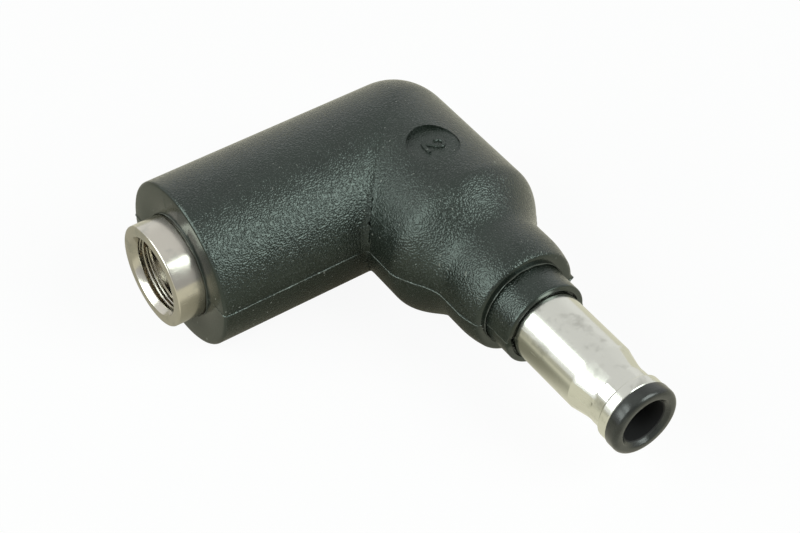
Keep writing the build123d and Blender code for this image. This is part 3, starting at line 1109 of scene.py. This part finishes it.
    def build_body(self) -> bpy.types.Object:
        """Builds the elbow from its two legs and the outer corner.

        Returns:
            The elbow.
        """
        bm = self._join(self._socket_leg().bm, self._plug_leg().bm)
        bmesh.ops.remove_doubles(bm, verts=bm.verts, dist=NEARBY)
        self._turn_corner(bm)
        bmesh.ops.recalc_face_normals(bm, faces=bm.faces)
        self._fill_crease(bm)
        self._mark_crease(bm)
        self._raise_parting_line(bm)
        moulding = finish_mesh(bm, "elbow_moulding")
        self._cut_away(moulding, self._recess_cutter(), self._gap_cutter())
        return moulding

    def build_number(self) -> bpy.types.Object:
        """Builds the raised cavity number on the floor of the recess.

        Returns:
            The number.
        """
        line = bpy.data.curves.new("number_line", "CURVE")
        line.dimensions = "3D"
        line.bevel_depth = self.number_stroke_width * MM
        line.bevel_resolution = 4
        line.resolution_u = 8
        line.use_fill_caps = True
        stroke = line.splines.new("NURBS")
        stroke.points.add(len(self.number_strokes) - 1)
        for point, (across, ahead) in zip(stroke.points, self.number_strokes):
            x, y = self.recess_centre[0] + across, self.recess_centre[1] + ahead
            point.co = (x * MM, y * MM, self.recess_floor * MM, 1.0)
        stroke.order_u = 3
        stroke.use_endpoint_u = True
        drawn = add_object("number_line", line)
        mesh = final_mesh(drawn)
        bpy.data.objects.remove(drawn)
        bm = bmesh.new()
        bm.from_mesh(mesh)
        bmesh.ops.scale(bm, vec=(1 / MM, 1 / MM, 1 / MM), verts=bm.verts)
        return finish_mesh(bm, "cavity_number", sharp=math.radians(60))

    def build_flash(
        self, leg: Leg, name: str, station: float, radius: float, gap: float, seed: float
    ) -> bpy.types.Object:
        """Builds the thin ring of flash that the mould left round a metal or plastic insert.

        Args:
            leg: The leg it lies on.
            name: Name of the piece.
            station: Station of the face that it stands on.
            radius: Radius of the ring.
            gap: How much further out it lies on top, where the plastic shrank away.
            seed: Picks its unevenness.

        Returns:
            The ring.
        """
        ring = Turning(leg, self.flash_steps)
        foot, top, width = station - self.flash_root, station + self.flash_height, self.flash_width
        ring.outline([(foot, radius - width), (top, radius), (foot, radius + width)])
        ring.spin()
        for vert in ring.bm.verts:
            spot = vert.co.copy()
            away = (spot - leg.origin) - leg.way * (spot - leg.origin).dot(leg.way)
            angle = math.atan2(away.z, away.dot(leg.across))
            outward = gap * ease(1 - abs(angle - self.gap_angle) / self.sleeve_flash_reach)
            outward += self.flash_width * ragged(spot, self.flash_sway_size, seed)
            vert.co += away.normalized() * outward
            vert.co += leg.way * self.flash_lean * ragged(spot, self.flash_lean_size, seed + 3.0)
        return finish_mesh(ring.bm, name)

    def build(self) -> None:
        """Builds and dresses every piece of the moulding; the number is smooth and the flash is painted pale
        as a highlight.
        """
        dress(self.build_body(), self.vinyl.material(), "moulded_pvc", "elbow_housing")
        dress(self.build_number(), self.number_vinyl.material(), "moulded_pvc")
        radius, gap = self.sleeve_flash_radius, self.sleeve_flash_gap
        flashes = (
            (Leg.SOCKET, "sleeve_flash", self.socket_reach, radius, gap, 1.0),
            (Leg.PLUG, "collar_flash", -self.nose_setback, self.collar_flash_radius, 0.0, 2.0),
        )
        flash_highlight = self.scuffed_vinyl.material()
        for flash in flashes:
            dress(self.build_flash(*flash), flash_highlight, "moulded_pvc")


@dataclass
class SocketAssembly:
    """The turned sleeve with its threaded mouth."""

    front: float = 20.35
    rear: float = 8.15
    outer_radius: float = 3.9
    flange_radius: float = 4.5
    flange_width: float = 1.0
    groove_front: float = 15.1
    groove_width: float = 1.0
    groove_depth: float = 0.4
    bore_radius: float = 2.8
    mouth_radius: float = 3.1
    mouth_depth: float = 0.5
    thread_end: float = 18.95
    thread_relief: float = 0.11
    thread_pitch: float = 0.28
    thread_steps: int = 96
    thread_crest: Span = (0.42, 0.54)
    thread_foot: float = 0.94
    thread_bite: float = 0.02
    lead_in: float = 0.06
    undercut: float = 0.12
    undercut_radius: float = 3.0
    spring_front: float = 18.13
    spring_rear: float = 17.60
    spring_groove_radius: float = 3.15
    front_break: float = 0.15
    mouth_break: float = 0.05
    nickel: TurnedNickel = TurnedNickel(
        "sleeve_nickel",
        rings_along_x=True,
        shade=(0.57, 0.545, 0.48),
        roughness=0.095,
        axis_y=SOCKET_AXIS_Y * MM,
        # Painted shade, with some grime, darkens the bore within this radius.
        bore_shaded_within=2.9 * MM,
    )

    def build_sleeve(self) -> bpy.types.Object:
        """Turns the sleeve's wall and winds the thread into its mouth.

        Returns:
            The sleeve.
        """
        sleeve = Turning(Leg.SOCKET)
        relief = self.bore_radius + self.thread_relief
        groove_rear = self.groove_front - self.groove_width
        mouth_end = self.front - self.mouth_depth
        sleeve.outline(
            [
                (self.rear, self.bore_radius),
                (self.rear, self.flange_radius),
                (self.rear + self.flange_width, self.flange_radius),
                (self.rear + self.flange_width, self.outer_radius),
                (groove_rear, self.outer_radius),
                (groove_rear, self.outer_radius - self.groove_depth),
                (self.groove_front, self.outer_radius - self.groove_depth),
                (self.groove_front, self.outer_radius),
                (self.front, self.outer_radius),
                (self.front, self.mouth_radius),
                (mouth_end, self.bore_radius),
                (mouth_end - self.lead_in, self.bore_radius),
                (mouth_end - self.lead_in, relief),
                (self.thread_end, relief),
                (self.thread_end, self.undercut_radius),
                (self.thread_end - self.undercut, self.undercut_radius),
                (self.thread_end - self.undercut, self.bore_radius),
                (self.spring_front, self.bore_radius),
                (self.spring_front, self.spring_groove_radius),
                (self.spring_rear, self.spring_groove_radius),
                (self.spring_rear, self.bore_radius),
            ]
        )
        sleeve.spin()
        sleeve.round_rims(self.front_break, (self.front, self.outer_radius), segments=4)
        mouth = ((self.front, self.mouth_radius), (mouth_end, self.bore_radius))
        sleeve.round_rims(self.mouth_break, *mouth, segments=2)
        self._wind_thread(sleeve)
        return finish_mesh(sleeve.bm, "socket_sleeve_turned", sharp=math.radians(25))

    def _wind_thread(self, sleeve: Turning) -> None:
        """Winds a narrow ridge along the mouth's relief, as one bar of several turns with two ends.

        Args:
            sleeve: The sleeve that it joins.
        """
        length = self.front - self.mouth_depth - self.lead_in - self.thread_end - self.thread_pitch
        turns = length / self.thread_pitch
        root = self.bore_radius + self.thread_relief + self.thread_bite
        crest_start, crest_end = (self.thread_end + self.thread_pitch * share for share in self.thread_crest)
        corners = [
            (self.thread_end + self.thread_bite, root),
            (crest_start, self.bore_radius),
            (crest_end, self.bore_radius),
            (self.thread_end + self.thread_pitch * self.thread_foot, root),
        ]
        sleeve.sweep(corners, turns * 2 * math.pi, round(turns * self.thread_steps), length)

    def build(self) -> None:
        """Builds and dresses the sleeve."""
        dress(self.build_sleeve(), self.nickel.material(), "nickel_plate", "socket_sleeve")


@dataclass
class PlugAssembly:
    """The necked barrel, its moulded collar and the insulating tip."""

    barrel_radius: float = 2.75
    barrel_straight: float = 6.0
    barrel_front: float = 9.9
    bore_radius: float = 2.05
    neck_radius: float = 2.425
    neck_end: float = 7.9
    neck_slope: float = -0.18
    neck_cuts: int = 16
    neck_end_cuts: int = 8
    flange_rear: float = 9.0
    flange_radius: float = 2.68
    flange_break: float = 0.15
    shank_radius: float = 2.45
    shank_length: float = 3.6
    anchor_radius: float = 2.95
    rear: float = -4.6
    collar_radius: float = 3.33
    collar_relief_radius: float = 2.9
    collar_relief_depth: float = 0.35
    collar_break: float = 0.12
    collar_cuts: int = 14
    collar_front_cuts: int = 4
    tip_front: float = 11.0
    tip_spigot: float = 1.4
    tip_bore_radius: float = 1.725
    tip_mouth_break: float = 0.35
    tip_rim_radius: float = 0.4
    flats: int = 16
    flat_share: float = 0.8
    flat_turn: float = math.radians(3)
    flat_onset: float = 0.26
    flange_root_break: float = 0.08
    seam_width: float = 0.04
    seam_height: float = 0.03
    seam_reach: float = 0.2
    seam_wave_size: float = 0.5
    relief_break: float = 0.04
    notch_at: Triple = (-3.05, 0.0, 0.05)
    notch_reach: float = 0.55
    notch_depth: float = 0.22
    notch_level: float = 0.6
    notch_tear_size: float = 0.22
    tip_rear_break: float = 0.10
    tip_mouth_round: float = 0.06
    nickel: TurnedNickel = TurnedNickel("barrel_nickel", rings_along_x=False)
    vinyl: MouldedVinyl = MouldedVinyl("collar_plastic", grain_depth=0.03 * MM, smooth_below_y=0.05 * MM)
    tip_plastic: GlossyTip = GlossyTip("tip_plastic")

    def _neck(self, station: float) -> float:
        """Radius of the drawn-in neck, which starts at a slope and ends level."""
        length = self.neck_end - self.barrel_straight
        share = (station - self.barrel_straight) / length
        entry = (share**3 - 2 * share**2 + share) * length * self.neck_slope
        return self.barrel_radius + (self.neck_radius - self.barrel_radius) * ease(share) + entry

    def _press_flats(self, barrel: Turning) -> None:
        """Presses the two rows of shallow flats into the neck that the forming jaws left there.

        Args:
            barrel: The barrel.
        """
        width = 2 * math.pi / self.flats
        for vert in barrel.bm.verts:
            station, radius = Leg.PLUG.station_radius(vert.co)
            on_neck = self.barrel_straight + 0.01 < station < self.flange_rear - 0.1
            if on_neck and radius > self.bore_radius + 0.1:
                turn = self.flat_turn + (width / 2 if station > self.neck_end + 0.01 else 0.0)
                off = (math.atan2(vert.co.z, vert.co.x) + turn) % width - width / 2
                flat = math.cos(width / 2) / math.cos(off)
                onset = ease((station - self.barrel_straight) / self.flat_onset)
                scale = 1 - self.flat_share * onset * (1 - flat)
                vert.co.x *= scale
                vert.co.z *= scale

    def _tear_front(self, collar: Turning) -> None:
        """Leaves the torn flash and the small notch on the collar's front edge.

        Args:
            collar: The collar.
        """
        for vert in collar.bm.verts:
            near = ease(1 - (vert.co - Vector(self.notch_at)).length / self.notch_reach)
            torn = self.notch_level + ragged(vert.co, self.notch_tear_size, 6.0)
            vert.co.y += self.notch_depth * near * torn

    def build_barrel(self) -> bpy.types.Object:
        """Turns the barrel.

        Returns:
            The barrel.
        """
        barrel = Turning(Leg.PLUG)
        edges = barrel.outline(
            [
                (self.rear, self.bore_radius),
                (self.rear, self.anchor_radius),
                (-self.shank_length, self.anchor_radius),
                (-self.shank_length, self.shank_radius),
                (0, self.shank_radius),
                (0, self.barrel_radius),
                (self.barrel_straight, self.barrel_radius),
                (self.neck_end, self.neck_radius),
                (self.flange_rear, self.neck_radius),
                (self.flange_rear, self.flange_radius),
                (self.barrel_front, self.flange_radius),
                (self.barrel_front, self.bore_radius),
            ]
        )
        barrel.curve(edges[6], self.neck_cuts, self._neck)
        barrel.curve(edges[7], self.neck_end_cuts, lambda station: self.neck_radius)
        barrel.spin()
        self._press_flats(barrel)
        flange = ((self.flange_rear, self.flange_radius), (self.barrel_front, self.flange_radius))
        barrel.round_rims(self.flange_break, *flange, segments=4)
        barrel.round_rims(self.flange_root_break, (self.flange_rear, self.neck_radius))
        return finish_mesh(barrel.bm, "plug_barrel_turned", sharp=math.radians(9))

    def build_collar(self) -> bpy.types.Object:
        """Turns the collar, with its relief round the barrel and the ragged seam on both its sides.

        Returns:
            The collar.
        """
        collar = Turning(Leg.PLUG)
        edges = collar.outline(
            [
                (0, self.collar_radius),
                (self.rear, self.collar_radius),
                (self.rear, self.anchor_radius),
                (-self.shank_length, self.anchor_radius),
                (-self.shank_length, self.shank_radius),
                (-self.collar_relief_depth, self.shank_radius),
                (-self.collar_relief_depth, self.collar_relief_radius),
                (0, self.collar_relief_radius),
            ]
        )
        collar.curve(edges[0], self.collar_cuts, lambda station: self.collar_radius)
        bmesh.ops.subdivide_edges(collar.bm, edges=[edges[-1]], cuts=self.collar_front_cuts)
        collar.spin()
        collar.round_rims(self.collar_break, (0, self.collar_radius))
        collar.round_rims(self.relief_break, (0, self.collar_relief_radius), segments=2)
        raise_seam(
            collar.bm,
            lambda point: abs(point.x) > self.collar_radius - self.seam_reach,
            self.seam_width,
            lambda point: self.seam_height * (1 + ragged(point, self.seam_wave_size, 4.0)),
        )
        self._tear_front(collar)
        return finish_mesh(collar.bm, "plug_collar_moulded")

    def build_tip(self) -> bpy.types.Object:
        """Turns the tip insulator with its rounded rim and its countersunk mouth.

        Returns:
            The tip.
        """
        tip = Turning(Leg.PLUG)
        spigot_end = self.barrel_front - self.tip_spigot
        mouth_radius = self.tip_bore_radius + self.tip_mouth_break
        tip.outline(
            [
                (spigot_end, self.tip_bore_radius),
                (spigot_end, self.bore_radius),
                (self.barrel_front, self.bore_radius),
                (self.barrel_front, self.barrel_radius),
                (self.tip_front, self.barrel_radius),
                (self.tip_front, mouth_radius),
                (self.tip_front - self.tip_mouth_break, self.tip_bore_radius),
            ]
        )
        tip.spin()
        tip.round_rims(self.tip_rim_radius, (self.tip_front, self.barrel_radius), segments=8)
        tip.round_rims(self.tip_rear_break, (self.barrel_front, self.barrel_radius))
        tip.round_rims(self.tip_mouth_round, (self.tip_front, mouth_radius))
        return finish_mesh(tip.bm, "plug_tip_moulded", sharp=math.radians(40))

    def build(self) -> None:
        """Builds and dresses the barrel, the collar and the tip."""
        dress(self.build_barrel(), self.nickel.material(), "nickel_plate", "plug_barrel")
        dress(self.build_collar(), self.vinyl.material(), "collar_plastic", "plug_collar")
        dress(self.build_tip(), self.tip_plastic.material(), "tip_plastic", "plug_tip_insulator")


@dataclass
class InnerWorks:
    """Contacts, insulators, tags, wires and solder, whose solids stay as they are and get finishes."""

    finishes: tuple[InnerFinish, ...] = (
        InnerFinish(
            "drawn_copper", Stuff.METAL, (0.80, 0.42, 0.28), (0.50, 0.24, 0.15), 0.32,
            ("live_wire_core", "return_wire_core"),
        ),
        InnerFinish(
            "tinned_brass", Stuff.METAL, (0.72, 0.70, 0.64), (0.52, 0.48, 0.38), 0.35,
            ("plug_tag", "socket_tag"),
        ),
        InnerFinish(
            "spring_bronze", Stuff.METAL, (0.66, 0.50, 0.30), (0.42, 0.30, 0.18), 0.34,
            ("socket_contact_spring",),
        ),
        InnerFinish(
            "soft_solder", Stuff.METAL, (0.62, 0.63, 0.65), (0.42, 0.43, 0.44), 0.40,
            ("plug_pin_solder", "plug_tag_solder", "socket_pin_solder", "socket_tag_solder"),
        ),
        InnerFinish(
            "pin_nickel", Stuff.METAL, (0.70, 0.67, 0.61), (0.48, 0.45, 0.40), 0.28,
            ("plug_pin", "socket_pin"),
        ),
        InnerFinish(
            "insulator_black", Stuff.PLASTIC, (0.030, 0.031, 0.030), (0.045, 0.046, 0.044), 0.5,
            ("plug_insulator", "socket_insulator"),
        ),
        InnerFinish(
            "red_cover", Stuff.PLASTIC, (0.42, 0.030, 0.022), (0.32, 0.022, 0.018), 0.45,
            ("live_wire_cover",),
        ),
        InnerFinish(
            "black_cover", Stuff.PLASTIC, (0.020, 0.020, 0.021), (0.032, 0.032, 0.033), 0.45,
            ("return_wire_cover",),
        ),
    )

    def build(self) -> None:
        """Assigns each inner node its finish."""
        for finish in self.finishes:
            material = finish.material()
            for node in finish.nodes:
                paint(frame["nodes"][node].data, material)
                LOG.info("%s: %s", node, material.name)


@dataclass(frozen=True)
class Softbox:
    """A flat lamp: where its light comes from, how far off and large it is, and how bright it looks."""

    name: str
    azimuth: float
    elevation: float
    width: float
    height: float
    level: float
    distance: float = 0.42
    colour: Colour = (0.90, 1.0, 0.96)

    @property
    def direction(self) -> Vector:
        """Way from the object to the lamp, with azimuth counted from -y towards +x."""
        around, up = math.radians(self.azimuth), math.radians(self.elevation)
        return Vector((math.sin(around) * math.cos(up), -math.cos(around) * math.cos(up), math.sin(up)))

    def build(self, aim: Vector) -> None:
        """Puts the lamp up, facing a point."""
        lamp = bpy.data.lights.new(self.name, "AREA")
        lamp.shape = "RECTANGLE"
        lamp.size = self.width
        lamp.size_y = self.height
        lamp.energy = math.pi * self.width * self.height * self.level
        lamp.color = self.colour
        stand = add_object(self.name, lamp)
        away = self.direction
        turn = away.to_track_quat("Z", "Y").to_matrix().to_4x4()
        stand.matrix_world = Matrix.Translation(aim + away * self.distance) @ turn


@dataclass
class Studio:
    """A white table in a white room with a lamp on each side, and the camera."""

    table_height: float = -6.35
    table_width: float = 3.0
    aim: Triple = (-0.004, 0.008, 0.0)
    camera_at: Triple = (-0.06380, -0.07177, 0.10118)
    camera_right: Triple = (0.8206, -0.5714, 0.0121)
    camera_up: Triple = (0.3976, 0.5859, 0.7061)
    camera_forward: Triple = (0.4105, 0.5746, -0.7080)
    lens: float = 89.9
    sensor_width: float = 36.0
    room_level: float = 0.16
    ceiling_mirror: float = 0.88
    wall_mirror: float = 1.0
    wall_to_ceiling: Span = (0.25, 0.75)
    front_to_back: Span = (-0.9, -0.1)
    front_mirror_share: float = 0.50
    table_shade: Colour = (0.86, 0.86, 0.85)
    table_in_mirror: Colour = (0.74, 0.69, 0.56)
    table_near_glow: Colour = (0.14, 0.13, 0.09)
    table_far_glow: Colour = (0.90, 0.87, 0.72)
    table_shaded_at: Point = (-9.0, 10.0)
    table_shaded_reach: Span = (5.0, 14.5)
    table_back_left_dim: float = 0.55
    table_dim_leftwards: Span = (3.0, 9.0)
    table_dim_backwards: Span = (-1.0, 5.0)
    table_white_share: float = 0.93
    table_glow_share: float = 0.75
    lamps: tuple[Softbox, ...] = (
        Softbox("right_lamp", 34.0, 38.5, 0.23, 0.32, 5.6),
        Softbox("left_lamp_upper", -97.0, 47.0, 0.42, 0.115, 4.6),
        Softbox("left_lamp_lower", -97.0, 25.0, 0.42, 0.125, 4.6),
    )

    def clear(self) -> None:
        """Removes whatever the empty file held."""
        kept = {*frame["nodes"].values(), *frame["bodies"].values()}
        for leftover in [item for item in bpy.data.objects if item not in kept]:
            bpy.data.objects.remove(leftover)

    def build_table(self) -> None:
        """Lays the table: white to the camera, with its shadows, and in reflections a painted glow with a
        painted shadow near by.
        """
        bm = bmesh.new()
        bmesh.ops.create_grid(bm, x_segments=2, y_segments=2, size=self.table_width / 2 / MM)
        bmesh.ops.translate(bm, vec=(0, 0, self.table_height), verts=bm.verts)
        table = finish_mesh(bm, "table")
        material, graph = new_material("white_table")
        seen = graph.node("ShaderNodeLightPath", output="Is Camera Ray")
        mirrored = graph.node("ShaderNodeLightPath", output="Is Glossy Ray")
        across, back = graph.axes(graph.place(), "XY")
        across = across - self.table_shaded_at[0] * MM
        back = back - self.table_shaded_at[1] * MM
        near, far = ((reach * MM) ** 2 for reach in self.table_shaded_reach)
        left = [reach * MM for reach in self.table_dim_leftwards]
        rear = [reach * MM for reach in self.table_dim_backwards]
        # In reflections the table's glow is painted: a painted shadow between the legs and painted dimming
        # towards the back left.
        dimmed = (across * -1.0).above(*left) * back.above(*rear)
        lit = (across * across + back * back).above(near, far) * (1.0 - dimmed * self.table_back_left_dim)
        shade = graph.blend(mirrored, self.table_shade, self.table_in_mirror)
        glow = graph.blend(lit, self.table_near_glow, self.table_far_glow)
        glow = graph.blend(mirrored, (1.0, 1.0, 1.0), glow)
        matt = graph.node("ShaderNodeBsdfDiffuse", inputs={"Color": shade}, output="BSDF")
        bright = graph.node("ShaderNodeEmission", inputs={"Color": glow, "Strength": 1.0})
        share = seen * self.table_white_share + mirrored * self.table_glow_share
        shown = graph.node("ShaderNodeMixShader", inputs={0: share, 1: matt, 2: bright})
        graph.finish("ShaderNodeOutputMaterial", shown)
        table.data.materials.append(material)

    def build_room(self) -> None:
        """Fills the room with soft light: white to the camera, and in reflections a little dimmer overhead.

        The half of the room in front of the object reflects darker, as where the photographer stands.
        """
        world = bpy.data.worlds.new("room")
        world.use_nodes = True
        bpy.context.scene.world = world
        graph = Graph(world.node_tree)
        seen = graph.node("ShaderNodeLightPath", output="Is Camera Ray")
        mirrored = graph.node("ShaderNodeLightPath", output="Is Glossy Ray")
        back, height = graph.axes(graph.node("ShaderNodeTexCoord", output="Generated"), "YZ")
        low = 1.0 - height.above(*self.wall_to_ceiling)
        mirror = low * (self.wall_mirror - self.ceiling_mirror) + self.ceiling_mirror
        behind = back.above(*self.front_to_back) * (1.0 - self.front_mirror_share) + self.front_mirror_share
        strength = mirrored * (mirror * behind) + (1.0 - mirrored) * self.room_level
        strength = seen + (1.0 - seen) * strength
        light = graph.node("ShaderNodeBackground", inputs={"Color": (1.0, 1.0, 1.0), "Strength": strength})
        graph.finish("ShaderNodeOutputWorld", light)

    def build_camera(self) -> None:
        """Sets up the camera at the photograph's angle."""
        data = bpy.data.cameras.new("camera")
        data.sensor_width = self.sensor_width
        data.lens = self.lens
        data.clip_start = 0.005
        data.clip_end = 10.0
        camera = add_object("camera", data)
        rows = (self.camera_right, self.camera_up, -Vector(self.camera_forward))
        turn = Matrix(rows).transposed().to_4x4()
        camera.matrix_world = Matrix.Translation(Vector(self.camera_at)) @ turn
        bpy.context.scene.camera = camera

    def build(self) -> None:
        """Builds the table, the room, the lamps and the camera."""
        self.build_table()
        self.build_room()
        aim = Vector(self.aim)
        for lamp in self.lamps:
            lamp.build(aim)
        self.build_camera()
        bpy.context.scene.view_settings.view_transform = "Standard"


def main() -> None:
    """Builds the adapter, piece by piece, in its studio."""
    logging.basicConfig(level=logging.INFO, format="%(name)s %(message)s")
    studio = Studio()
    studio.clear()
    for assembly in (ElbowMoulding(), SocketAssembly(), PlugAssembly(), InnerWorks(), studio):
        assembly.build()


if __name__ == "__main__":
    main()
